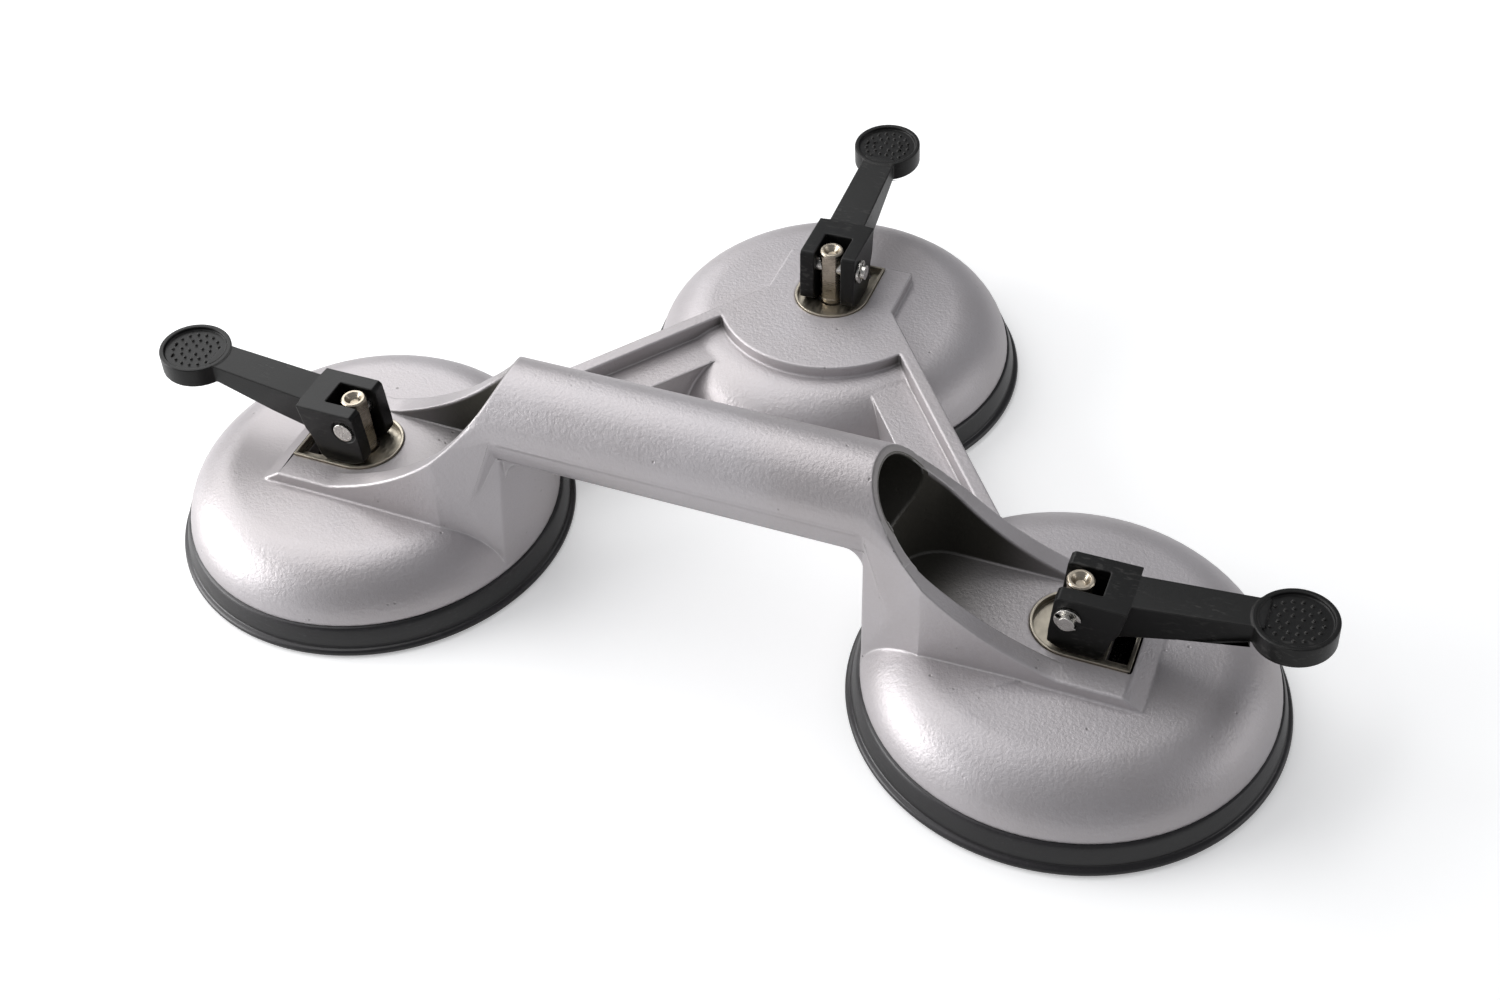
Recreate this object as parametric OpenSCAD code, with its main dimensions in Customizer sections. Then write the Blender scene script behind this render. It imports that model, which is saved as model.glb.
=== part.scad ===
// Three-cup suction lifter: one die-cast aluminium body, three vacuum cups, three cam levers.
// The origin is on the ground at the middle of the footprint. X runs along the handle,
// Y from the handle towards the single cup, Z up. The levers are drawn down, pads pulled tight.

/* [Layout] */
// Distance between the centres of the two handle cups
cup_span = 211; // [206:0.5:220]
// Distance of the single cup's centre from the handle line
cup_setback = 108.5; // [106:0.5:116]

/* [Rubber pads] */
// Outer diameter of a rubber pad
pad_d = 118; // [117:0.5:119]
// Depth of the sealed hollow under a pulled pad
pad_hollow = 5; // [4.5:0.1:5.5]

/* [Casting] */
// Height of the flat top of the decks
deck_top = 27.8; // [27.6:0.1:28]
// Wall of the cup housings
wall = 3.8; // [3:0.1:4]
// Outer diameter of the handle tube
handle_d = 28.8; // [28:0.1:29]
// Bore of the handle tube
handle_bore = 24; // [22:0.5:24]
// Height of the handle's axis
handle_axis = 55.7; // [55.5:0.1:56]
// Width of the deck and trough at each end of the handle
trough_w = 40.6; // [40:0.1:41]

/* [Levers] */
// Diameter of the thumb pad
thumb_d = 20.8; // [20:0.1:22]
// Distance from the cup centre to the thumb pad's centre
thumb_reach = 52.2; // [50:0.1:54]
// Width of the forked head
head_w = 17.6; // [17:0.1:18.4]
// Width of the slot for the stud
slot_w = 8.6; // [8.2:0.1:9]
// Width of the lever's arm at the head
arm_w = 11.4; // [10.6:0.1:12]
// Travel of the stud when a lever is raised to its stop
stud_drop = 4; // [3:0.1:4.2]

/* [Pins and studs] */
// Diameter of a stud
stud_d = 7.2; // [7:0.1:7.4]
// Diameter of a pivot pin
pin_d = 4.4; // [4:0.1:4.6]
// Height of a pivot pin's axis when the lever is down
pin_axis = 39; // [38.8:0.1:39.2]
// Radial clearance of the moving fits
fit = 0.05; // [0.03:0.01:0.08]

/* [Hidden] */
$fn = 96;

// Footprint centred on the origin
pad_r = pad_d / 2;
thumb_tilt = 4;
thumb_t = 6.2;
thumb_out = thumb_reach + thumb_d / 2 * cos(thumb_tilt) + thumb_t * sin(thumb_tilt);
front_y = (pad_r - cup_setback - thumb_out) / 2;
back_y = front_y + cup_setback;
CUP_X = [-cup_span / 2, cup_span / 2, 0];
CUP_Y = [front_y, front_y, back_y];
CUP_A = [180, 0, 90];
LEFT = 0;
RIGHT = 1;
BACK = 2;

// Cup housing
rim_z = 8.5;
rim_r = pad_r - 3.6;
shoulder_r = 18;
shoulder_z = 6;
crown = 0.8;
crown_tilt = atan(crown / (rim_r - shoulder_r));
guide_r = 8;
guide_z = 16;

// Handle, troughs and decks
handle_r = handle_d / 2;
bore_r = handle_bore / 2;
trough_r = trough_w / 2;
trough_foot = trough_r + 0.7;
trough_top = trough_r - 1;
leg_foot = 15.9;
leg_neck = 11;
leg_r = 54.8;
fillet_r = 5;
spread_x = 35.5;
spread_z = 50;
scoop_r = 87;
scoop_x = 22.4;
scoop_z = 112.1;
pocket_x = 36;
pocket_r = 13.9;
pocket_draft = 1.6;
deck_x = 17.5;
deck_bevel = 5.4;
boss_r = 35.5;

// Arms: a flat plate with a rib along the outside and a skirt along the inside
arm_a = 53;
arm_out = 15;
arm_in = -1.5;
arm_len = 128;
rib_t = 4.3;
arm_plate = 22.8;
arm_foot = 13;
arm_wall = 3;
arm_channel = 3.6;

// Recess and wear plate
plate_t = 1.2;
plate_z = 26.4;
plate_r = 11.5;
plate_end = 17;
plate_rim = 0.7;
window_x = 10.2;
window_w = 16;
plate_top = 28.3;

// Lever: the cam's foot turns on the wear plate as the stud moves in step with the lever
pin_x = -0.5;
foot = pin_axis - plate_z - 0.1;
cam_k = stud_drop * 2 / PI;
head_back = -4.7;
head_toe = 9.9;
head_top = 6.2;
slot_end = 7.1;
thumb_z = 10.4;
arm_tip_w = arm_w - 1.6;
// Rings of nubs on the thumb pad: radius, count and first angle
NUB_RINGS = [[1.9, 4, 30], [4.2, 12, 15], [6.6, 17, 0]];

// Pad, insert and stud
insert_z = 10;
insert_r = 26;
insert_t = 2;
tail_r = 3;
stud_top = pin_axis + 5.8;
stud_flat = 2.95;
pin_head = 5.8;

// The cup's own frame: its axis at the origin, its lever along +X
module at_cup(i) {
  translate([CUP_X[i], CUP_Y[i], 0])
    rotate(CUP_A[i])
      children();
}

// A flat outline in X and Z made into a slab of width w centred on Y = 0
module slab(w) {
  translate([0, w / 2, 0])
    rotate([90, 0, 0])
      linear_extrude(w)
        children();
}

// Outline with one round end, as the recess under a lever has
module round_end(r, end) {
  circle(r);
  translate([0, -r])
    square([end, 2 * r]);
}

// ---- Casting ----

// Half section of the cup housing, drawn in by t
module dome_half(t) {
  intersection() {
    translate([0, rim_z - (t > 0 ? 1 : 0)])
      square([rim_r, shoulder_z + shoulder_r]);
    union() {
      translate([0, shoulder_z])
        polygon([
          [0, 0],
          [rim_r - shoulder_r, 0],
          [rim_r - shoulder_r + (shoulder_r - t) * sin(crown_tilt), (shoulder_r - t) * cos(crown_tilt)],
          [0, shoulder_r - t + crown]
        ]);
      translate([rim_r - shoulder_r, shoulder_z])
        circle(shoulder_r - t);
    }
  }
}

module dome(t) {
  rotate_extrude()
    dome_half(t);
}

// Cross-section of a trough's walls: w0 half wide at the rim of the cup, w1 at height top
module wall_section(w0, w1, top) {
  rotate([90, 0, 90])
    linear_extrude(0.1)
      polygon([[-w0, rim_z], [w0, rim_z], [w1, top], [-w1, top]]);
}

// Outside of a trough block: the tube's end spreads into upright walls on a leg
module block_form() {
  hull() {
    translate([-leg_r + 2, 0, handle_axis])
      rotate([0, 90, 0])
        cylinder(r = handle_r, h = 0.1, $fn = 48);
    translate([-spread_x, 0, 0])
      wall_section(trough_foot, trough_top, spread_z);
  }
  hull() {
    translate([-leg_r - 0.5, 0, 0])
      wall_section(leg_foot, leg_neck, spread_z);
    translate([-spread_x, 0, 0])
      wall_section(trough_foot, trough_top, spread_z);
  }
  translate([-spread_x, 0, 0])
    rotate([90, 0, 90])
      linear_extrude(spread_x + deck_x + deck_bevel)
        polygon([
          [-trough_foot, rim_z],
          [trough_foot, rim_z],
          [trough_top, spread_z],
          [-trough_top, spread_z]
        ]);
}

// Block that carries the recess, the trough walls and the leg under the handle's end
module trough_block() {
  difference() {
    intersection() {
      block_form();
      cylinder(r = leg_r, h = 100);
    }
    // Bevel from the deck's outer edge down to the housing
    slab(60)
      polygon([
        [deck_x, deck_top],
        [deck_x + 9, deck_top],
        [deck_x + 9, deck_top - 6]
      ]);
  }
  // Fillet between the tube's underside and the leg
  intersection() {
    translate([-leg_r - fillet_r + 1, 0, handle_axis])
      rotate([0, 90, 0])
        rotate_extrude()
          difference() {
            square([handle_r + fillet_r, fillet_r + 1]);
            translate([handle_r + fillet_r, 0])
              circle(fillet_r);
          }
    translate([-70, -leg_neck + 0.2, 20])
      cube([30, 2 * leg_neck - 0.4, 30]);
  }
}

// Round cut that opens the tube's end into the trough and runs out on the deck
module scoop() {
  slab(60)
    intersection() {
      translate([scoop_x, scoop_z])
        circle(scoop_r);
      translate([-leg_r - 10, deck_top])
        square(100);
    }
}

// Open inside of the trough, with a half round end towards the handle
module trough_hollow() {
  translate([-pocket_x, 0, deck_top]) {
    cylinder(r1 = pocket_r, r2 = pocket_r + pocket_draft, h = 30);
    rotate([90, 0, 90])
      linear_extrude(pocket_x + 2)
        polygon([
          [-pocket_r, 0],
          [pocket_r, 0],
          [pocket_r + pocket_draft, 30],
          [-pocket_r - pocket_draft, 30]
        ]);
  }
}

// Raised boss and deck of the single cup, its rib corners cut to the arms' lines
module back_deck() {
  intersection() {
    translate([0, 0, 20])
      cylinder(r = boss_r, h = deck_top - 20);
    union() {
      slab(trough_w)
        polygon([
          [-boss_r, 20],
          [deck_x + 1.2, 20],
          [deck_x + 0.6, deck_top],
          [-boss_r, deck_top]
        ]);
      translate([0, 0, 20])
        linear_extrude(deck_top - 20)
          polygon([
            [-2.8, -trough_r],
            [-2.8, trough_r],
            [-2.8 - 60 * sin(arm_a), trough_r + 60 * cos(arm_a)],
            [-2.8 - 60 * sin(arm_a), -trough_r - 60 * cos(arm_a)]
          ]);
    }
  }
}

// One arm in the single cup's frame, side +1 towards the right cup
module arm(side) {
  mirror([0, side > 0 ? 1 : 0, 0])
    rotate(180 - (90 - arm_a))
      translate([14, 0, 0])
        difference() {
          union() {
            translate([0, -arm_out, arm_foot])
              cube([arm_len, arm_out - arm_in, arm_plate - arm_foot]);
            translate([0, -arm_out, arm_plate - 1])
              cube([arm_len, rib_t, deck_top - arm_plate + 1]);
          }
          translate([-1, arm_wall - arm_out, arm_foot - 1])
            cube([arm_len + 2, arm_out - arm_in - 2 * arm_wall, arm_channel + 1]);
        }
}

module arms() {
  difference() {
    at_cup(BACK) {
      arm(1);
      arm(-1);
    }
    translate([-cup_span, front_y - 60, 0])
      cube([2 * cup_span, 60 + trough_r - 2.5, 60]);
  }
}

module cast_body() {
  color("silver")
    difference() {
      union() {
        for (i = [LEFT : BACK])
          at_cup(i)
            dome(0);
        for (i = [LEFT, RIGHT])
          at_cup(i)
            trough_block();
        at_cup(BACK)
          back_deck();
        arms();
        translate([-cup_span / 2 + leg_r - 14, front_y, handle_axis])
          rotate([0, 90, 0])
            cylinder(r = handle_r, h = cup_span - 2 * leg_r + 28);
      }
      for (i = [LEFT : BACK])
        at_cup(i)
          cup_openings();
      for (i = [LEFT, RIGHT])
        at_cup(i) {
          scoop();
          trough_hollow();
        }
      translate([-cup_span / 2 + leg_r - 14, front_y, handle_axis])
        rotate([0, 90, 0])
          cylinder(r = bore_r, h = cup_span - 2 * leg_r + 28);
    }
}

// Hollow of a housing with its stud guide, the lever's recess and the stud's bore
module cup_openings() {
  difference() {
    dome(wall);
    translate([0, 0, guide_z])
      cylinder(r = guide_r, h = 20);
  }
  translate([0, 0, plate_z - plate_t])
    linear_extrude(10)
      round_end(plate_r + 0.05, plate_end + 0.05);
  plate_window();
  cylinder(d = stud_d + 2 * fit, h = 30);
}

// ---- Cup parts ----

module rubber_pad(i) {
  color("#1c1c1e")
    at_cup(i)
      rotate_extrude()
        polygon([
          [0, pad_hollow],
          [25, pad_hollow - 0.2],
          [40, pad_hollow - 1.4],
          [47, pad_hollow - 3.2],
          [51, 0],
          [pad_r - 0.6, 0],
          [pad_r, 0.6],
          [pad_r, 2.6],
          [pad_r - 1, 5.6],
          [pad_r - 2.7, rim_z],
          [48, rim_z],
          [40, 9.4],
          [32, insert_z],
          [0, insert_z]
        ]);
}

module insert_plate(i) {
  color("#8f9093")
    at_cup(i)
      translate([0, 0, insert_z])
        difference() {
          cylinder(r = insert_r, h = insert_t);
          translate([0, 0, -1])
            cylinder(r = tail_r + 0.02, h = insert_t + 2);
        }
}

module stud(i) {
  color("#b9ac98")
    at_cup(i)
      difference() {
        union() {
          translate([0, 0, insert_z + 0.2])
            cylinder(r = tail_r, h = insert_t);
          translate([0, 0, insert_z + insert_t])
            cylinder(r = 6, h = 2);
          translate([0, 0, insert_z + insert_t])
            cylinder(d = stud_d, h = stud_top - insert_z - insert_t - 0.4);
          translate([0, 0, stud_top - 0.4])
            cylinder(d1 = stud_d, d2 = stud_d - 0.8, h = 0.4);
        }
        for (s = [-1, 1])
          translate([s * (stud_flat + 2) - 2, -6, plate_z + 1.6])
            cube([4, 12, stud_top - plate_z - 2.8]);
        translate([pin_x, 10, pin_axis])
          rotate([90, 0, 0])
            cylinder(d = pin_d + 2 * fit, h = 20);
        translate([0, 0, stud_top - 1.8])
          cylinder(d1 = 2.4, d2 = 5.2, h = 1.9);
      }
}

module wear_plate(i) {
  color("#b5a98f")
    at_cup(i)
      difference() {
        translate([0, 0, plate_z - plate_t])
          linear_extrude(plate_top - plate_z + plate_t)
            round_end(plate_r, plate_end);
        translate([0, 0, plate_z])
          linear_extrude(10)
            round_end(plate_r - plate_rim, plate_end - plate_rim);
        cylinder(d = stud_d + 1, h = 40);
        plate_window();
      }
}

// Opening at the recess's outer end, through the plate and the casting
module plate_window() {
  translate([window_x, -window_w / 2, 10])
    cube([plate_end - 1.2 - window_x, window_w, 20]);
}

// ---- Lever ----

// Edge that the wear plate rolls along: the foot is nearer to the pin as the lever rises
function cam_point(a) = let (p = foot - cam_k * a * PI / 180) [
  cam_k * cos(a) - p * sin(a),
  -p * cos(a) - cam_k * sin(a)
];

// Side outline of the head, with the pin at the origin
module head_outline() {
  difference() {
    polygon([
      [head_back, -foot],
      [head_toe - 1.4, -foot],
      [head_toe, 1.2 - foot],
      [11.6, -4.6],
      [13, -1.9],
      [14.4, head_top],
      [head_back + 1.6, head_top],
      [head_back + 0.7, head_top - 0.9],
      [head_back, -6]
    ]);
    polygon(concat(
      [for (a = [0 : 4 : 60]) cam_point(a)],
      [[-20, -5], [-20, -20], [cam_k, -20]]
    ));
  }
}

// Side outline of the arm, from inside the head to inside the thumb pad
module arm_outline() {
  polygon([
    [slot_end, -7.4],
    [15.2, -4.7],
    [25.7, -2],
    [thumb_reach - 6, thumb_z - thumb_t + 0.4],
    [thumb_reach - 6, thumb_z - 0.6],
    [14.4, head_top],
    [slot_end, head_top - 0.6]
  ]);
}

// The arm's plan, narrower towards the thumb pad
module arm_body() {
  intersection() {
    slab(arm_w)
      arm_outline();
    translate([0, 0, -20])
      linear_extrude(60)
        polygon([
          [0, -arm_w / 2],
          [14, -arm_w / 2],
          [thumb_reach, -arm_tip_w / 2],
          [thumb_reach, arm_tip_w / 2],
          [14, arm_w / 2],
          [0, arm_w / 2]
        ]);
  }
}

module lever(i) {
  color("#222224")
    at_cup(i)
      translate([pin_x, 0, pin_axis])
        difference() {
          union() {
            slab(head_w)
              head_outline();
            arm_body();
            thumb_pad();
          }
          translate([head_back - 5, -slot_w / 2, -20])
            cube([slot_end - head_back + 5, slot_w, 40]);
          translate([0, 20, 0])
            rotate([90, 0, 0])
              cylinder(d = pin_d + 2 * fit, h = 40);
          translate([0, head_w / 2 - 0.9, 0])
            rotate([-90, 0, 0])
              cylinder(d = pin_head + 1.6, h = 2);
        }
}

// Disc for the thumb with a raised rim and rings of small nubs
module thumb_pad() {
  translate([thumb_reach - pin_x, 0, thumb_z])
    rotate([0, -thumb_tilt, 0]) {
      translate([0, 0, -thumb_t])
        difference() {
          cylinder(d = thumb_d, h = thumb_t);
          translate([0, 0, thumb_t - 1])
            cylinder(d = thumb_d - 2.8, h = 2);
        }
      for (ring = NUB_RINGS, k = [0 : ring[1] - 1])
        rotate(k * 360 / ring[1] + ring[2])
          translate([ring[0], 0, -1.2])
            cylinder(r1 = 0.5, r2 = 0.35, h = 0.7, $fn = 16);
    }
}

module pivot_pin(i) {
  color("#c9c4bb")
    at_cup(i)
      translate([pin_x, 0, pin_axis])
        rotate([90, 0, 0])
          difference() {
            translate([0, 0, -head_w / 2 - 0.3])
              union() {
                cylinder(d = pin_head, h = 1.15);
                cylinder(d = pin_d, h = head_w + 2.7);
              }
            translate([0, 0, head_w / 2 + 0.1])
              difference() {
                cylinder(d = pin_d + 2, h = 0.9);
                translate([0, 0, -1])
                  cylinder(d = pin_d - 1, h = 4);
              }
          }
}

module e_clip(i) {
  color("#d0cdc6")
    at_cup(i)
      translate([pin_x, -head_w / 2 - 0.15, pin_axis])
        rotate([90, 20, 0])
          linear_extrude(0.8)
            difference() {
              circle(3.5);
              circle(pin_d / 2 - 0.48);
              translate([0, -1.5])
                square([6, 3]);
              for (a = [80, 180, 280])
                rotate(a)
                  translate([pin_d / 2 + 0.35, 0])
                    circle(0.8, $fn = 24);
            }
}

cast_body();
rubber_pad(LEFT);  // rubber_pad_left
rubber_pad(RIGHT);  // rubber_pad_right
rubber_pad(BACK);  // rubber_pad_back
insert_plate(LEFT);  // insert_plate_left
insert_plate(RIGHT);  // insert_plate_right
insert_plate(BACK);  // insert_plate_back
stud(LEFT);  // stud_left
stud(RIGHT);  // stud_right
stud(BACK);  // stud_back
wear_plate(LEFT);  // wear_plate_left
wear_plate(RIGHT);  // wear_plate_right
wear_plate(BACK);  // wear_plate_back
lever(LEFT);  // lever_left
lever(RIGHT);  // lever_right
lever(BACK);  // lever_back
pivot_pin(LEFT);  // pivot_pin_left
pivot_pin(RIGHT);  // pivot_pin_right
pivot_pin(BACK);  // pivot_pin_back
e_clip(LEFT);  // e_clip_left
e_clip(RIGHT);  // e_clip_right
e_clip(BACK);  // e_clip_back
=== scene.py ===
"""Looks of a three-cup suction lifter: finishes, rubber pads, camera and studio."""

from math import cos, pi, radians, sin

import bmesh
import bpy
from bpy.props import FloatProperty, FloatVectorProperty, IntProperty, PointerProperty
from bpy.types import Operator, Panel, PropertyGroup
from mathutils import Matrix, Vector


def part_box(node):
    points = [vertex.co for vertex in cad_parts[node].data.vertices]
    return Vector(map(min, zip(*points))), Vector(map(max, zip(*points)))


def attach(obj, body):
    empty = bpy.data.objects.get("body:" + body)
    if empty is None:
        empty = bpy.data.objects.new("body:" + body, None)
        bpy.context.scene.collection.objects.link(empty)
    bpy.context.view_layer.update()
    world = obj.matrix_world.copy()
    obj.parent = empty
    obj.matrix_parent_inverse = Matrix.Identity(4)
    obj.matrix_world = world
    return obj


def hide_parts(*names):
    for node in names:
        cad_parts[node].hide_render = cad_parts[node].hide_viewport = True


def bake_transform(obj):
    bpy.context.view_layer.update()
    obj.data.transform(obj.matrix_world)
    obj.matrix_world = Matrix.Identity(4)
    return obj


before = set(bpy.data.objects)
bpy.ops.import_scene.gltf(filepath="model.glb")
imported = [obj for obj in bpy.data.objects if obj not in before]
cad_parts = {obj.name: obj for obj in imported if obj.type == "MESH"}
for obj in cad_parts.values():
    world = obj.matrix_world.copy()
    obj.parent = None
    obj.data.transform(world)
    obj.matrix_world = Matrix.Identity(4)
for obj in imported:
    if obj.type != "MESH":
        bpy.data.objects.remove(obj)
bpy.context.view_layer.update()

bl_info = {
    "name": "Suction Lifter",
    "version": (1, 0, 0),
    "blender": (4, 5, 0),
    "location": "3D View > Sidebar > Lifter",
    "description": "Finishes, rubber pads, camera and studio of a three-cup suction lifter",
    "category": "Object",
}

MM = 0.001
CUPS = ("left", "right", "back")

# The handle and the troughs at its ends, as the casting has them
HANDLE_Z = 55.7 * MM  # height of the handle's axis
BORE_R = 12.8 * MM  # just past the handle's bore
SEAM_END = 52 * MM  # where the handle's parting line stops, from the middle
SCOOP_X, SCOOP_Z, SCOOP_R = -22.4 * MM, 112.1 * MM, 87 * MM  # round cut of a trough's rim, from its cup
POCKET_X, POCKET_R = 36 * MM, 16.4 * MM  # rounded end of a trough, from its cup's axis, just past its wall
DECK_Z = 27.5 * MM  # just above a trough's floor
RIM_REACH = 22 * MM  # half the width over a trough's walls

# A pad's outline
WEB_Z = 5 * MM  # underside at the middle
TOP_Z = 8.45 * MM  # top of the lip, against the housing
FLAT_TOP_Z = 9.95 * MM  # top at the middle
OVERLAP = 0.4 * MM  # how far the middle goes into the lip

# Camera
AZIMUTH, ELEVATION, ROLL = radians(25.53), radians(46.66), radians(-4.33)
CAMERA_PLACE = (0.1556, -0.3720, 0.3796)
SHIFT_X, SHIFT_Y = 0.0219, 0.0525



def cup_centre(cup):
    """The cup's axis on the ground, from its rubber pad in the frame."""
    low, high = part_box("rubber_pad_" + cup)
    return Vector(((low.x + high.x) / 2, (low.y + high.y) / 2, 0))


# ---- Settings ----


def colour(name, description, default):
    """A colour that a user may change."""
    return FloatVectorProperty(
        name=name, description=description, default=default, subtype="COLOR", size=3, min=0, max=1
    )


def number(name, description, default, **others):
    """A number from 0 up that a user may change."""
    return FloatProperty(name=name, description=description, default=default, min=0, **others)


def length(name, description, default, largest):
    """A length that a user may change, in metres."""
    return number(name, description, default, max=largest, unit="LENGTH", subtype="DISTANCE")


class LifterFinish(PropertyGroup):
    """Colours and gloss of the lifter's finishes."""

    paint: colour("Paint", "Silver paint on the casting", (0.52, 0.495, 0.51))
    # Painted shade: a dark colour put into the bore, the troughs and the hollows, where shade falls.
    painted_shade_colour: colour("Paint in hollows", "Silver paint, thin and dusty", (0.085, 0.081, 0.068))
    # Lighter edges: polished wear and painted highlight.
    paint_edge_wear_and_highlight: colour("Paint on edges", "Silver paint polished on the edges", (0.9, 0.88, 0.88))
    paint_gloss: number("Paint roughness", "Roughness of the silver paint", 0.42, max=1, subtype="FACTOR")
    rubber: colour("Rubber", "Black rubber of the pads", (0.009, 0.0085, 0.009))
    rubber_bloom: colour("Rubber bloom", "Grey bloom that handling leaves", (0.06, 0.054, 0.061))
    lever: colour("Lever", "Black plastic of the levers", (0.0055, 0.0055, 0.0053))
    # Grey for scuffs, and for edges as wear and painted highlight.
    lever_scuff_and_highlight: colour("Lever scuffs", "Grey of scuffed plastic", (0.09, 0.086, 0.082))
    stud: colour("Stud", "Yellowish plating of the studs", (0.60, 0.53, 0.43))
    plate: colour("Wear plate", "Pressed plate in a lever's recess", (0.56, 0.51, 0.42))
    steel: colour("Pins and clips", "Bright plating of pins and clips", (0.76, 0.74, 0.70))


class LifterShape(PropertyGroup):
    """Sizes of the rubber pads and of the rounded edges."""

    casting_edge: length("Casting edge", "Rounding of the casting's edges", 0.5 * MM, 3 * MM)
    lever_edge: length("Lever edge", "Rounding of a lever's edges", 0.3 * MM, 2 * MM)
    lip_bead: length("Lip bead", "Radius of the bead round a pad's lip", 1.1 * MM, 3 * MM)
    seam_radius: length("Seam radius", "Radius at which a pad's lip meets its middle", 46.5 * MM, 50 * MM)
    turns: IntProperty(name="Steps round", description="Faces round a pad", default=160, min=48, max=360)


class LifterStudio(PropertyGroup):
    """Floor, lights and camera."""

    floor: colour("Floor", "Colour of the pale floor", (0.93, 0.93, 0.93))
    glow: number("Floor glow", "Light that the floor gives off", 0.32)
    sky: number("Room light", "Strength of the light from all round", 0.25)
    lens: number("Lens", "Focal length of the camera", 43.5, max=200, unit="CAMERA")
    key: number("Key light", "Power of the large soft light", 10.5, unit="POWER")
    side: number("Side light", "Power of the low light at the left", 13, unit="POWER")
    rim: number("Rim light", "Power of the low light at the right", 1.6, unit="POWER")
    top: number("Top light", "Power of the light above", 4, unit="POWER")


# ---- Shader node groups ----


def put(tree, kind, values=(), **settings):
    """A node of that kind, with values on its sockets and its own settings."""
    made = tree.nodes.new(kind)
    for name, value in settings.items():
        setattr(made, name, value)
    for socket, value in dict(values).items():
        if isinstance(value, bpy.types.NodeSocket):
            tree.links.new(value, made.inputs[socket])
        else:
            made.inputs[socket].default_value = value
    return made


def sums(tree, operation, a, b=0.0, clamp=False):
    """The output of a Math node."""
    return put(tree, "ShaderNodeMath", {0: a, 1: b}, operation=operation, use_clamp=clamp).outputs[0]


def step(tree, value, start, end, low=0.0, high=1.0):
    """Value carried smoothly from start..end to low..high."""
    made = put(
        tree,
        "ShaderNodeMapRange",
        {"Value": value, "From Min": start, "From Max": end, "To Min": low, "To Max": high},
        interpolation_type="SMOOTHSTEP",
    )
    return made.outputs["Result"]


def across(tree, a, b):
    """Length of the line that joins the ends of two sides at a right angle."""
    squares = [sums(tree, "POWER", side, 2.0) for side in (a, b)]
    return sums(tree, "SQRT", sums(tree, "ADD", *squares))


def off(tree, value, middle):
    """How far a value is from a middle, either way."""
    return sums(tree, "ABSOLUTE", sums(tree, "SUBTRACT", value, middle))


def stretched(tree, place, by):
    """A place with each of its parts multiplied."""
    return put(tree, "ShaderNodeVectorMath", {0: place, 1: by}, operation="MULTIPLY").outputs[0]


def normal_z(tree):
    """How much the surface faces up."""
    normal = tree.nodes.new("ShaderNodeNewGeometry").outputs["Normal"]
    return put(tree, "ShaderNodeSeparateXYZ", {0: normal}).outputs["Z"]


def noise(tree, place, scale, detail, **others):
    """A noise value over the surface."""
    values = {"Vector": place, "Scale": scale, "Detail": detail, **others}
    return put(tree, "ShaderNodeTexNoise", values).outputs["Fac"]


def mix(tree, share_in, a, b):
    """Colour a turned into b by a share."""
    made = put(tree, "ShaderNodeMix", data_type="RGBA")
    for socket, value in ((made.inputs["Factor"], share_in), (made.inputs[6], a), (made.inputs[7], b)):
        if isinstance(value, bpy.types.NodeSocket):
            tree.links.new(value, socket)
        else:
            socket.default_value = value
    return made.outputs[2]


def effect(name, inputs, outputs):
    """An empty shader node group with named sockets, and the nodes that hold them."""
    tree = bpy.data.node_groups.new(name, "ShaderNodeTree")
    for label, kind, value in inputs:
        socket = tree.interface.new_socket(name=label, in_out="INPUT", socket_type=kind)
        if value is not None:
            socket.default_value = value
    for label, kind in outputs:
        tree.interface.new_socket(name=label, in_out="OUTPUT", socket_type=kind)
    return tree, tree.nodes.new("NodeGroupInput").outputs, tree.nodes.new("NodeGroupOutput").inputs


NUMBER, ARROW = "NodeSocketFloat", "NodeSocketVector"


def edge_effect():
    """Finds outer edges and rounds their shading."""
    tree, given, out = effect(
        "Rounded edge",
        [("Radius", NUMBER, 0.001), ("Breakup", NUMBER, 0.4)],
        [("Edge", NUMBER), ("Normal", ARROW)],
    )
    rounded = put(tree, "ShaderNodeBevel", {"Radius": given["Radius"]}, samples=6).outputs[0]
    flat = tree.nodes.new("ShaderNodeNewGeometry").outputs["Normal"]
    compared = put(tree, "ShaderNodeVectorMath", {0: rounded, 1: flat}, operation="DOT_PRODUCT")
    same = compared.outputs["Value"]
    place = tree.nodes.new("ShaderNodeTexCoord").outputs["Object"]
    patches = noise(tree, place, 420.0, 3.0)
    # Mask of outer edges, which the materials lighten as wear and painted highlight.
    lit_and_worn_edge = step(tree, sums(tree, "SUBTRACT", 1.0, same), 0.004, 0.07)
    kept = sums(tree, "SUBTRACT", 1.0, sums(tree, "MULTIPLY", given["Breakup"], patches))
    tree.links.new(sums(tree, "MULTIPLY", lit_and_worn_edge, kept, clamp=True), out["Edge"])
    tree.links.new(rounded, out["Normal"])
    return tree


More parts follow.
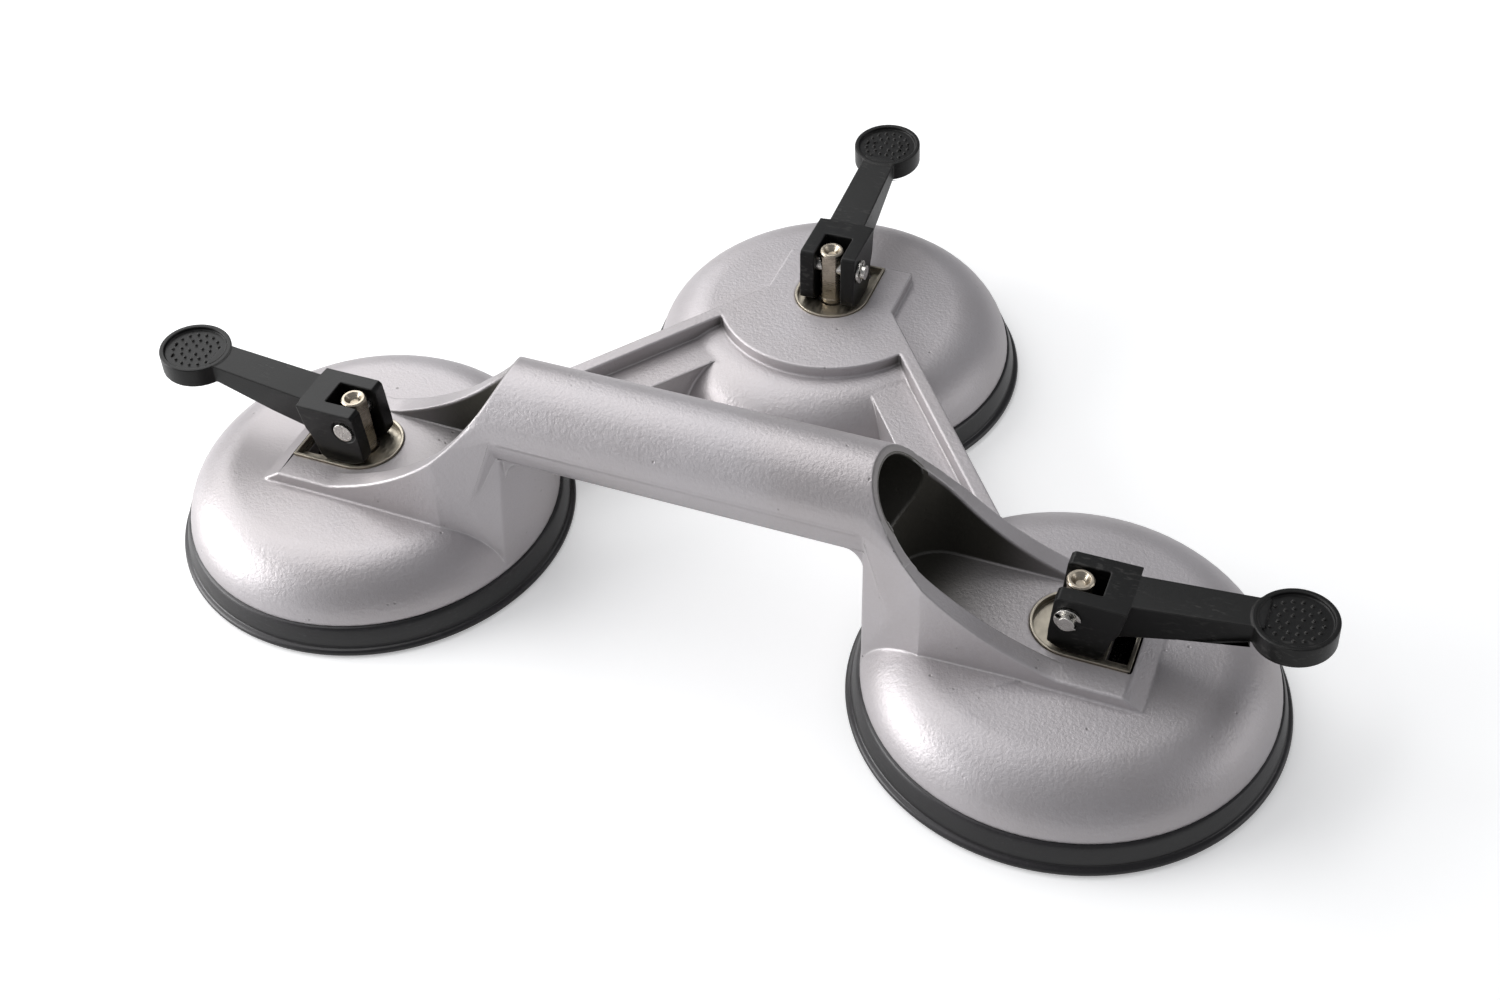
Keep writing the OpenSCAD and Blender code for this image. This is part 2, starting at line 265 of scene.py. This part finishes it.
def grain_effect():
    """Fine skin of a sprayed casting or moulding, with soft waves, grain and a few pits."""
    tree, given, out = effect(
        "Moulded grain",
        [("Grain Size", NUMBER, 1400.0), ("Pits", NUMBER, 0.5), ("Waves", NUMBER, 0.3)],
        [("Height", NUMBER), ("Tone", NUMBER), ("Pit Mask", NUMBER)],
    )
    place = tree.nodes.new("ShaderNodeTexCoord").outputs["Object"]
    fine = noise(tree, place, given["Grain Size"], 4.0, Roughness=0.6)
    wavy = noise(tree, place, 95.0, 2.0)
    broad = noise(tree, place, 24.0, 2.0)
    cells = put(
        tree, "ShaderNodeTexVoronoi", {"Vector": place, "Scale": 260.0, "Randomness": 1.0}, feature="F1"
    ).outputs["Distance"]
    pick = noise(tree, place, 60.0, 0.0)
    pit = sums(tree, "MULTIPLY", step(tree, cells, 0.14, 0.04), step(tree, pick, 0.6, 0.68), clamp=True)
    pit = sums(tree, "MULTIPLY", pit, given["Pits"], clamp=True)
    raised = sums(tree, "ADD", fine, sums(tree, "MULTIPLY", wavy, given["Waves"]))
    tree.links.new(sums(tree, "SUBTRACT", raised, pit), out["Height"])
    tone = sums(tree, "ADD", sums(tree, "MULTIPLY", broad, 0.7), sums(tree, "MULTIPLY", fine, 0.3))
    tree.links.new(tone, out["Tone"])
    tree.links.new(pit, out["Pit Mask"])
    return tree


def hollow_effect():
    """Finds corners and hollows by occlusion, where shade falls; the materials paint shade there."""
    tree, given, out = effect(
        "Hollow",
        [("Reach", NUMBER, 0.012), ("Start", NUMBER, 0.75), ("End", NUMBER, 0.25)],
        [("Hollow", NUMBER)],
    )
    open_share = put(
        tree, "ShaderNodeAmbientOcclusion", {"Distance": given["Reach"]}, samples=8, only_local=True
    ).outputs["AO"]
    made = put(
        tree,
        "ShaderNodeMapRange",
        {"Value": open_share, "From Min": given["Start"], "From Max": given["End"]},
        interpolation_type="SMOOTHSTEP",
    )
    tree.links.new(made.outputs["Result"], out["Hollow"])
    return tree


def scuff_effect():
    """Faint scratches and rubbed patches from use."""
    tree, given, out = effect(
        "Scuffs",
        [("Amount", NUMBER, 0.5), ("Stretch", ARROW, (1.0, 12.0, 12.0))],
        [("Scuff", NUMBER)],
    )
    place = tree.nodes.new("ShaderNodeTexCoord").outputs["Object"]
    lines = noise(tree, stretched(tree, place, given["Stretch"]), 130.0, 3.0, Distortion=0.4)
    patches = noise(tree, place, 70.0, 2.0)
    rubbed = sums(tree, "MULTIPLY", step(tree, lines, 0.54, 0.68), step(tree, patches, 0.45, 0.65))
    tree.links.new(sums(tree, "MULTIPLY", rubbed, given["Amount"], clamp=True), out["Scuff"])
    return tree


EFFECTS = {"edge": edge_effect, "grain": grain_effect, "hollow": hollow_effect, "scuff": scuff_effect}
made_effects = {}


def use(tree, name, **values):
    """A shared effect placed in a material, with its own values."""
    if name not in made_effects:
        made_effects[name] = EFFECTS[name]()
    placed = tree.nodes.new("ShaderNodeGroup")
    placed.node_tree = made_effects[name]
    for label, value in values.items():
        placed.inputs[label.replace("_", " ")].default_value = value
    return placed.outputs


def start_material(name, **fixed):
    """A material with one Principled shader whose steady values are on its own sockets."""
    material = bpy.data.materials.new(name)
    material.use_nodes = True
    tree = material.node_tree
    shader = tree.nodes["Principled BSDF"]
    for label, value in fixed.items():
        shader.inputs[label.replace("_", " ")].default_value = value
    return material, tree, shader


def opaque(rgb):
    """A colour for a shader socket."""
    return (*rgb, 1.0)


def scaled(rgb, factor):
    """A darker or lighter colour for a shader socket."""
    return opaque([min(1.0, part * factor) for part in rgb])


def bump(tree, shader, height, depth, normal=None):
    """Raises the surface by height, in metres of depth."""
    values = {"Height": height, "Distance": depth, "Strength": 1.0}
    if normal is not None:
        values["Normal"] = normal
    tree.links.new(put(tree, "ShaderNodeBump", values).outputs[0], shader.inputs["Normal"])


# ---- Finishes ----


def trough_shade_mask(tree, place):
    """Where shade is painted in: the handle's bore, the troughs, and their rims near the handle."""
    cup = cup_centre("right")
    along = sums(tree, "ABSOLUTE", place["X"])
    aside = off(tree, place["Y"], cup.y)
    from_axis = across(tree, aside, sums(tree, "SUBTRACT", place["Z"], HANDLE_Z))
    bore = sums(tree, "LESS_THAN", from_axis, BORE_R)

    short = sums(tree, "MAXIMUM", sums(tree, "SUBTRACT", cup.x - POCKET_X, along), 0.0)
    in_plan = sums(tree, "LESS_THAN", across(tree, short, aside), POCKET_R)
    between = sums(tree, "MULTIPLY", in_plan, sums(tree, "GREATER_THAN", place["Z"], DECK_Z))
    run = sums(tree, "SUBTRACT", along, cup.x - SCOOP_X)
    drop = sums(tree, "SUBTRACT", SCOOP_Z, place["Z"])
    from_cut = across(tree, run, drop)
    below_rim = step(tree, from_cut, SCOOP_R + 0.2 * MM, SCOOP_R + 1.2 * MM)
    # Painted shade, deeper towards the handle on the floor and on the walls.
    floor = step(tree, along, 94 * MM, 62 * MM, 0.12, 1.0)
    wall = step(tree, along, 101 * MM, 78 * MM, 0.3, 1.0)
    flat = step(tree, normal_z(tree), 0.2, 0.7)
    depth = put(tree, "ShaderNodeMix", {"Factor": flat, 2: wall, 3: floor}).outputs[0]
    inside = sums(tree, "MULTIPLY", sums(tree, "MULTIPLY", between, below_rim), depth)

    # Painted shade on the rims' cut strips near the handle, high up.
    on_cut = sums(tree, "LESS_THAN", off(tree, from_cut, SCOOP_R), 0.3 * MM)
    high = step(tree, place["Z"], 36 * MM, 60 * MM)
    near_handle = sums(tree, "MULTIPLY", sums(tree, "LESS_THAN", aside, RIM_REACH), high)
    rim = sums(tree, "MULTIPLY", sums(tree, "MULTIPLY", on_cut, near_handle), 0.45)
    return sums(tree, "MAXIMUM", rim, sums(tree, "MAXIMUM", bore, inside), clamp=True)


def sprayed_aluminium(finish, shape):
    """Silver paint on a die casting: soft grain, painted shade in the bore, the troughs and the hollows,
    and lighter edges as wear and painted highlight.
    """
    material, tree, shader = start_material("sprayed_aluminium", Metallic=0.55, Specular_IOR_Level=0.5)
    edge = use(tree, "edge", Radius=shape.casting_edge * 1.6, Breakup=0.5)
    grain = use(tree, "grain", Grain_Size=1000.0, Pits=0.8, Waves=0.5)
    hollow = use(tree, "hollow", Reach=30 * MM, Start=0.62, End=0.2)
    place = tree.nodes.new("ShaderNodeTexCoord").outputs["Object"]
    paint, dark, bright = opaque(finish.paint), opaque(finish.painted_shade_colour), opaque(finish.paint_edge_wear_and_highlight)
    parts = put(tree, "ShaderNodeSeparateXYZ", {0: place}).outputs
    trough = trough_shade_mask(tree, parts)
    warm = opaque([part * dim for part, dim in zip(finish.paint, (0.93, 0.915, 0.9))])
    base = mix(tree, step(tree, grain["Tone"], 0.35, 0.65), warm, paint)
    # Painted shade: the hollows found by occlusion and the troughs turn to the dark colour.
    painted_shade_mask = sums(tree, "MAXIMUM", sums(tree, "MULTIPLY", hollow["Hollow"], 0.9), trough)
    base = mix(tree, painted_shade_mask, base, dark)
    # Edges lightened as polished wear and painted highlight.
    base = mix(tree, sums(tree, "MULTIPLY", edge["Edge"], 0.55), base, bright)
    base = mix(tree, sums(tree, "MULTIPLY", grain["Pit Mask"], 0.5), base, dark)
    tree.links.new(base, shader.inputs["Base Color"])
    rough = step(tree, grain["Tone"], 0.3, 0.7, finish.paint_gloss - 0.05, finish.paint_gloss + 0.07)
    rough = sums(tree, "ADD", rough, sums(tree, "MULTIPLY", hollow["Hollow"], 0.3))
    tree.links.new(rough, shader.inputs["Roughness"])
    near = step(tree, off(tree, parts["Z"], HANDLE_Z), 1.1 * MM, 0.0)
    inside = step(tree, sums(tree, "ABSOLUTE", parts["X"]), SEAM_END, SEAM_END - 2 * MM)
    seam = sums(tree, "MULTIPLY", near, inside)
    height = sums(tree, "ADD", grain["Height"], sums(tree, "MULTIPLY", seam, 1.6))
    bump(tree, shader, height, 0.13 * MM, edge["Normal"])
    return material


def pad_rubber(finish):
    """Black rubber with a grey bloom where it faces up, and a faint moulded grain."""
    material, tree, shader = start_material("pad_rubber", Metallic=0.0, Specular_IOR_Level=0.55)
    grain = use(tree, "grain", Grain_Size=2200.0, Pits=0.25, Waves=0.6)
    scuff = use(tree, "scuff", Amount=0.5, Stretch=(4.0, 4.0, 14.0))
    up = step(tree, normal_z(tree), 0.05, 0.75)
    bloom = sums(tree, "MULTIPLY", up, step(tree, grain["Tone"], 0.35, 0.7), clamp=True)
    rubbed = sums(tree, "MULTIPLY", scuff["Scuff"], 0.6)
    bloom = sums(tree, "ADD", sums(tree, "MULTIPLY", bloom, 0.45), rubbed, clamp=True)
    base = mix(tree, bloom, opaque(finish.rubber), opaque(finish.rubber_bloom))
    tree.links.new(base, shader.inputs["Base Color"])
    tree.links.new(step(tree, grain["Tone"], 0.3, 0.7, 0.27, 0.4), shader.inputs["Roughness"])
    bump(tree, shader, grain["Height"], 0.03 * MM)
    return material


def lever_plastic(finish, shape):
    """Black glass-filled plastic with a satin skin, scuffs, and edges greyed as wear and painted
    highlight.
    """
    material, tree, shader = start_material("lever_plastic", Metallic=0.0, Specular_IOR_Level=0.28)
    edge = use(tree, "edge", Radius=shape.lever_edge * 1.5, Breakup=0.6)
    grain = use(tree, "grain", Grain_Size=2600.0, Pits=0.2, Waves=0.4)
    scuff = use(tree, "scuff", Amount=0.8, Stretch=(3.0, 9.0, 9.0))
    # Edges greyed as wear and painted highlight.
    lit_and_worn_edge = sums(tree, "MULTIPLY", edge["Edge"], 0.65)
    grey = sums(tree, "ADD", lit_and_worn_edge, sums(tree, "MULTIPLY", scuff["Scuff"], 0.35), clamp=True)
    base = mix(tree, grey, opaque(finish.lever), opaque(finish.lever_scuff_and_highlight))
    tree.links.new(base, shader.inputs["Base Color"])
    rough = step(tree, grain["Tone"], 0.3, 0.7, 0.28, 0.42)
    rough = sums(tree, "ADD", rough, sums(tree, "MULTIPLY", scuff["Scuff"], 0.15))
    tree.links.new(rough, shader.inputs["Roughness"])
    bump(tree, shader, grain["Height"], 0.03 * MM, edge["Normal"])
    return material


def plated_metal(name, tint, dull, turned, rough_low, rough_high):
    """Plated steel with fine turning or rolling lines, painted shade in its hollows and edges lightened as
    wear and painted highlight.
    """
    material, tree, shader = start_material(name, Metallic=1.0)
    edge = use(tree, "edge", Radius=0.3 * MM, Breakup=0.3)
    hollow = use(tree, "hollow", Reach=4 * MM, Start=0.7, End=0.2)
    place = tree.nodes.new("ShaderNodeTexCoord").outputs["Object"]
    lines = noise(tree, stretched(tree, place, turned), 900.0, 3.0)
    cloud = noise(tree, place, 260.0, 3.0)
    base = mix(tree, step(tree, cloud, 0.35, 0.7), opaque(tint), scaled(tint, dull))
    # Painted shade: hollows found by occlusion are darkened.
    base = mix(tree, sums(tree, "MULTIPLY", hollow["Hollow"], 0.6), base, scaled(tint, dull * 0.25))
    # Edges lightened as wear and painted highlight.
    base = mix(tree, sums(tree, "MULTIPLY", edge["Edge"], 0.4), base, scaled(tint, 1.3))
    tree.links.new(base, shader.inputs["Base Color"])
    tree.links.new(step(tree, lines, 0.3, 0.7, rough_low, rough_high), shader.inputs["Roughness"])
    bump(tree, shader, lines, 0.02 * MM, edge["Normal"])
    return material


def pale_floor(studio):
    """Matt pale floor with a barely visible cloudiness, dimmer where the lifter reflects it."""
    material, tree, shader = start_material(
        "pale_floor", Roughness=0.85, Specular_IOR_Level=0.2, Emission_Strength=studio.glow
    )
    seen = tree.nodes.new("ShaderNodeLightPath").outputs["Is Camera Ray"]
    white = (1.0, 1.0, 1.0)
    tree.links.new(mix(tree, seen, scaled(white, 0.6), opaque(white)), shader.inputs["Emission Color"])
    cloud = noise(tree, tree.nodes.new("ShaderNodeTexCoord").outputs["Object"], 3.0, 2.0)
    lit = mix(tree, cloud, scaled(studio.floor, 0.985), opaque(studio.floor))
    below = tree.nodes.new("ShaderNodeNewGeometry").outputs["Backfacing"]
    tree.links.new(sums(tree, "SUBTRACT", 1.0, below), shader.inputs["Alpha"])
    tree.links.new(mix(tree, seen, scaled(studio.floor, 0.75), lit), shader.inputs["Base Color"])
    return material


# ---- Shaping ----


def finish_node(node, material):
    """Gives a CAD node its material."""
    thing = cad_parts[node]
    thing.data.materials.clear()
    thing.data.materials.append(material)
    return thing


SHADE_BREAK = radians(12)  # faces shade apart past this angle, where a rounding ends
FLAT = radians(0.4)  # neighbouring faces within this angle are joined


def angle_at(edge):
    """Angle between the two faces of an edge, 0 where there aren't two."""
    return edge.calc_face_angle(0) if len(edge.link_faces) == 2 else 0


def reach(face, edge):
    """How far a face goes from the line of one of its edges."""
    start = edge.verts[0].co
    along = (edge.verts[1].co - start).normalized()
    return max((corner.co - start).cross(along).length for corner in face.verts)


def roomy_edges(crease, room):
    """The creases with at least this much face beside them, where a rounding is clean."""
    crowded = {
        corner
        for edge in crease
        for corner in edge.verts
        if sum(side in crease for side in corner.link_edges) > 3
        or any(side not in crease and side.calc_length() < room for side in corner.link_edges)
        or any(reach(face, edge) < room for face in edge.link_faces)
    }
    return [edge for edge in crease if crowded.isdisjoint(edge.verts)]


def rounded_piece(name, node, body, material, width, weld, angle, shortest=0.0, room=0.0):
    """A copy of a CAD node with its edges past an angle rounded, which stands for the node."""
    form = bmesh.new()
    form.from_mesh(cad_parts[node].data)
    bmesh.ops.remove_doubles(form, verts=form.verts, dist=weld)
    bmesh.ops.dissolve_degenerate(form, dist=weld, edges=form.edges)
    bmesh.ops.dissolve_limit(form, angle_limit=FLAT, verts=form.verts, edges=form.edges)
    crease = {edge for edge in form.edges if angle_at(edge) > angle}
    sharp = [edge for edge in roomy_edges(crease, room) if edge.calc_length() > shortest]
    for edge in crease.difference(sharp):
        edge.smooth = False
    bmesh.ops.bevel(
        form,
        geom=sharp,
        offset=width,
        offset_type="OFFSET",
        segments=2,
        profile=0.5,
        affect="EDGES",
        clamp_overlap=False,
        miter_outer="ARC",
        material=-1,
    )
    bmesh.ops.dissolve_degenerate(form, dist=1e-6, edges=form.edges)
    ends = [corner for corner in form.verts if not all(side.smooth for side in corner.link_edges)]
    for corner in ends:
        for side in corner.link_edges:
            if angle_at(side) > SHADE_BREAK:
                side.smooth = False
    piece = link_piece(name, form, material)
    shading = piece.modifiers.new("Shading", "WEIGHTED_NORMAL")
    shading.weight = 80
    shading.keep_sharp = True
    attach(piece, body)
    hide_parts(node)
    return piece


def link_piece(name, form, material):
    """Makes an object of a bmesh, smooth and with one material."""
    mesh = bpy.data.meshes.new(name)
    form.to_mesh(mesh)
    form.free()
    mesh.polygons.foreach_set("use_smooth", [True] * len(mesh.polygons))
    mesh.materials.append(material)
    piece = bpy.data.objects.new(name, mesh)
    bpy.context.scene.collection.objects.link(piece)
    return piece


def turned_piece(name, outline, centre, steps, material):
    """A piece turned round a cup's axis from an outline of (radius, height) points."""
    turns = [2 * pi * k / steps for k in range(steps)]
    form = bmesh.new()
    rings = []
    for radius, height in outline:
        around = turns if radius > 0 else turns[:1]
        rings.append(
            [
                form.verts.new((centre.x + radius * cos(turn), centre.y + radius * sin(turn), height))
                for turn in around
            ]
        )
    pairs = list(zip(rings, rings[1:]))
    if len(rings[0]) > 1 and len(rings[-1]) > 1:
        pairs.append((rings[-1], rings[0]))
    for inner, outer in pairs:
        for k in range(steps):
            n = (k + 1) % steps
            corners = [ring[i % len(ring)] for ring, i in ((inner, k), (outer, k), (outer, n), (inner, n))]
            form.faces.new(list(dict.fromkeys(corners)))
    bmesh.ops.recalc_face_normals(form, faces=form.faces)
    return link_piece(name, form, material)


def arc(middle, radius, start, end, steps):
    """Points on an arc, in degrees, as (radius, height)."""
    turns = [radians(start + (end - start) * k / steps) for k in range(steps + 1)]
    return [(middle[0] + radius * cos(turn), middle[1] + radius * sin(turn)) for turn in turns]


def on_curve(a, b, c, d, t):
    """The value at t of the way from b to c, on a smooth line that comes from a and goes on to d."""
    bend = 2 * a - 5 * b + 4 * c - d
    twist = 3 * b - a - 3 * c + d
    return 0.5 * (2 * b + (c - a) * t + bend * t * t + twist * t**3)


def curved(points, steps):
    """A smooth line through points."""
    last = len(points) - 1
    line = []
    for k in range(last):
        four = (points[max(k - 1, 0)], points[k], points[k + 1], points[min(k + 2, last)])
        for s in range(steps):
            line.append(tuple(on_curve(*(point[i] for point in four), s / steps) for i in (0, 1)))
    return line + [points[-1]]


# ---- Operators ----


class LIFTER_OT_casting(Operator):
    """Finish the die-cast body in silver paint"""

    bl_idname = "lifter.casting"
    bl_label = "Casting"

    def execute(self, context):
        shape = context.scene.lifter_shape
        casting = rounded_piece(
            "casting",
            "cast_body",
            "body",
            sprayed_aluminium(context.scene.lifter_finish, shape),
            width=shape.casting_edge,
            weld=0.15 * MM,
            angle=radians(25),
            room=1.2 * MM,
        )
        return {"FINISHED"}


class LIFTER_OT_pads(Operator):
    """Build the rubber pads, each a lip that stays put and a middle"""

    bl_idname = "lifter.pads"
    bl_label = "Rubber pads"

    def execute(self, context):
        shape = context.scene.lifter_shape
        rubber = pad_rubber(context.scene.lifter_finish)
        for cup in CUPS:
            self.build(cup, shape, rubber)
        return {"FINISHED"}

    def build(self, cup, shape, rubber):
        centre = cup_centre(cup)
        low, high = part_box("rubber_pad_" + cup)
        radius = (high.x - low.x) / 2
        rim = turned_piece("pad_lip_" + cup, self.lip_outline(shape, radius), centre, shape.turns, rubber)
        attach(rim, "body")
        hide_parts("rubber_pad_" + cup)
        web = turned_piece("pad_middle_" + cup, self.middle_outline(shape), centre, shape.turns, rubber)
        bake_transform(web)

    def lip_outline(self, shape, radius):
        """Underside from the seam out to the bead, then up the flank and back along the top."""
        bead, seam = shape.lip_bead, shape.seam_radius
        foot = [(seam, 2.0 * MM), (48.5 * MM, 1.35 * MM), (50.5 * MM, 0.35 * MM), (52.2 * MM, 0.0)]
        flank = [
            (radius - 1.5 * MM, 2.9 * MM),
            (radius - 1.9 * MM, 5.0 * MM),
            (radius - 2.8 * MM, 7.6 * MM),
            (radius - 3.3 * MM, TOP_Z),
        ]
        return [
            *curved(foot, 4),
            *arc((radius - bead, bead), bead, -90, 90, 8),
            (radius - bead - 0.5 * MM, 2 * bead + 0.1 * MM),
            *curved(flank, 4),
            (53 * MM, TOP_Z),
            (seam, TOP_Z),
        ]

    def middle_outline(self, shape):
        """Underside from the axis out into the lip, then back along the top."""
        edge = shape.seam_radius + OVERLAP
        under = [
            (6 * MM, WEB_Z),
            (20 * MM, 4.93 * MM),
            (30 * MM, 4.6 * MM),
            (40 * MM, 3.55 * MM),
            (45.5 * MM, 2.25 * MM),
            (edge, 2.15 * MM),
        ]
        above = [(edge, 8.3 * MM), (44 * MM, 8.9 * MM), (32 * MM, FLAT_TOP_Z), (0.0, FLAT_TOP_Z)]
        return [(0.0, WEB_Z), *curved(under, 6), *above]


class LIFTER_OT_levers(Operator):
    """Finish the cam levers in scuffed black plastic"""

    bl_idname = "lifter.levers"
    bl_label = "Levers"

    def execute(self, context):
        shape = context.scene.lifter_shape
        plastic = lever_plastic(context.scene.lifter_finish, shape)
        for cup in CUPS:
            lever = rounded_piece(
                "cam_lever_" + cup,
                "lever_" + cup,
                "cam_" + cup,
                plastic,
                width=shape.lever_edge,
                weld=0.05 * MM,
                angle=radians(30),
                shortest=0.25 * MM,
            )
        return {"FINISHED"}


class LIFTER_OT_studs(Operator):
    """Finish the studs that the levers pull"""

    bl_idname = "lifter.studs"
    bl_label = "Studs"

    def execute(self, context):
        tint = context.scene.lifter_finish.stud
        metal = plated_metal("turned_stud", tint, 0.8, (0.3, 0.3, 3.0), 0.22, 0.42)
        for cup in CUPS:
            finish_node("stud_" + cup, metal)
        return {"FINISHED"}


class LIFTER_OT_wear_plates(Operator):
    """Finish the pressed plates that the levers' feet turn on"""

    bl_idname = "lifter.wear_plates"
    bl_label = "Wear plates"

    def execute(self, context):
        tint = context.scene.lifter_finish.plate
        metal = plated_metal("pressed_plate", tint, 0.75, (2.0, 0.5, 1.0), 0.3, 0.5)
        for cup in CUPS:
            finish_node("wear_plate_" + cup, metal)
        return {"FINISHED"}


class LIFTER_OT_pins(Operator):
    """Finish the pivot pins, their clips and the insert plates"""

    bl_idname = "lifter.pins"
    bl_label = "Pins, clips and inserts"

    def execute(self, context):
        tint = context.scene.lifter_finish.steel
        metal = plated_metal("bright_plating", tint, 0.86, (1.0, 1.0, 1.0), 0.16, 0.34)
        for cup in CUPS:
            for kind in ("pivot_pin_", "e_clip_", "insert_plate_"):
                finish_node(kind + cup, metal)
        return {"FINISHED"}


class LIFTER_OT_studio(Operator):
    """Put the lifter on a pale floor under soft lights, and set the camera"""

    bl_idname = "lifter.studio"
    bl_label = "Studio"

    def execute(self, context):
        studio = context.scene.lifter_studio
        self.lay_floor(studio)
        self.hang_lights(studio)
        self.set_camera(studio)
        context.scene.view_settings.view_transform = "Standard"
        return {"FINISHED"}

    def lay_floor(self, studio):
        form = bmesh.new()
        bmesh.ops.create_grid(form, x_segments=12, y_segments=12, size=4.0)
        mesh = bpy.data.meshes.new("floor")
        form.to_mesh(mesh)
        form.free()
        mesh.materials.append(pale_floor(studio))
        floor = bpy.data.objects.new("floor", mesh)
        floor.location.z = -0.2 * MM
        bpy.context.scene.collection.objects.link(floor)

    def hang_lights(self, studio):
        world = bpy.data.worlds.new("studio")
        world.use_nodes = True
        world.node_tree.nodes["Background"].inputs["Color"].default_value = (0.93, 0.95, 1.0, 1.0)
        world.node_tree.nodes["Background"].inputs["Strength"].default_value = studio.sky
        bpy.context.scene.world = world
        for name, place, size, power in (
            ("key", (-0.95, 0.45, 0.85), (1.5, 1.0), studio.key),
            ("side", (-1.08, -0.44, 0.32), (0.8, 0.75), studio.side),
            ("top", (-0.36, 0.12, 1.2), (1.5, 0.3), studio.top),
            ("rim", (1.1, 0.25, 0.3), (0.9, 0.4), studio.rim),
        ):
            lamp = bpy.data.lights.new(name, "AREA")
            lamp.shape = "RECTANGLE"
            lamp.size, lamp.size_y = size
            lamp.energy = power
            holder = bpy.data.objects.new(name, lamp)
            holder.location = place
            holder.rotation_mode = "QUATERNION"
            holder.rotation_quaternion = (-Vector(place)).to_track_quat("-Z", "Y")
            bpy.context.scene.collection.objects.link(holder)

    def set_camera(self, studio):
        back = Vector((sin(AZIMUTH) * cos(ELEVATION), -cos(AZIMUTH) * cos(ELEVATION), sin(ELEVATION)))
        right = (-back).cross(Vector((0, 0, 1))).normalized()
        up = right.cross(-back)
        sideways = cos(ROLL) * right + sin(ROLL) * up
        upward = cos(ROLL) * up - sin(ROLL) * right
        camera = bpy.data.objects.new("camera", bpy.data.cameras.new("camera"))
        camera.data.lens = studio.lens
        camera.data.sensor_width = 36
        camera.data.shift_x, camera.data.shift_y = SHIFT_X, SHIFT_Y
        camera.data.clip_start = 0.01
        turned = Matrix((sideways, upward, back)).transposed().to_4x4()
        camera.matrix_world = Matrix.Translation(CAMERA_PLACE) @ turned
        bpy.context.scene.collection.objects.link(camera)
        bpy.context.scene.camera = camera


class LIFTER_PT_panel(Panel):
    """Steps that dress the lifter"""

    bl_idname = "LIFTER_PT_panel"
    bl_label = "Suction Lifter"
    bl_space_type = "VIEW_3D"
    bl_region_type = "UI"
    bl_category = "Lifter"

    def draw(self, context):
        for step_class in STEPS:
            self.layout.operator(step_class.bl_idname)
        for group in ("lifter_finish", "lifter_shape", "lifter_studio"):
            settings = getattr(context.scene, group)
            for name in settings.__annotations__:
                self.layout.prop(settings, name)


STEPS = (
    LIFTER_OT_casting,
    LIFTER_OT_pads,
    LIFTER_OT_levers,
    LIFTER_OT_studs,
    LIFTER_OT_wear_plates,
    LIFTER_OT_pins,
    LIFTER_OT_studio,
)
CLASSES = (LifterFinish, LifterShape, LifterStudio, *STEPS, LIFTER_PT_panel)


def register():
    for made in CLASSES:
        bpy.utils.register_class(made)
    bpy.types.Scene.lifter_finish = PointerProperty(type=LifterFinish)
    bpy.types.Scene.lifter_shape = PointerProperty(type=LifterShape)
    bpy.types.Scene.lifter_studio = PointerProperty(type=LifterStudio)


def unregister():
    del bpy.types.Scene.lifter_studio
    del bpy.types.Scene.lifter_shape
    del bpy.types.Scene.lifter_finish
    for made in reversed(CLASSES):
        bpy.utils.unregister_class(made)


def main():
    register()
    bpy.ops.lifter.casting()
    bpy.ops.lifter.pads()
    bpy.ops.lifter.levers()
    bpy.ops.lifter.studs()
    bpy.ops.lifter.wear_plates()
    bpy.ops.lifter.pins()
    bpy.ops.lifter.studio()


if __name__ == "__main__":
    main()
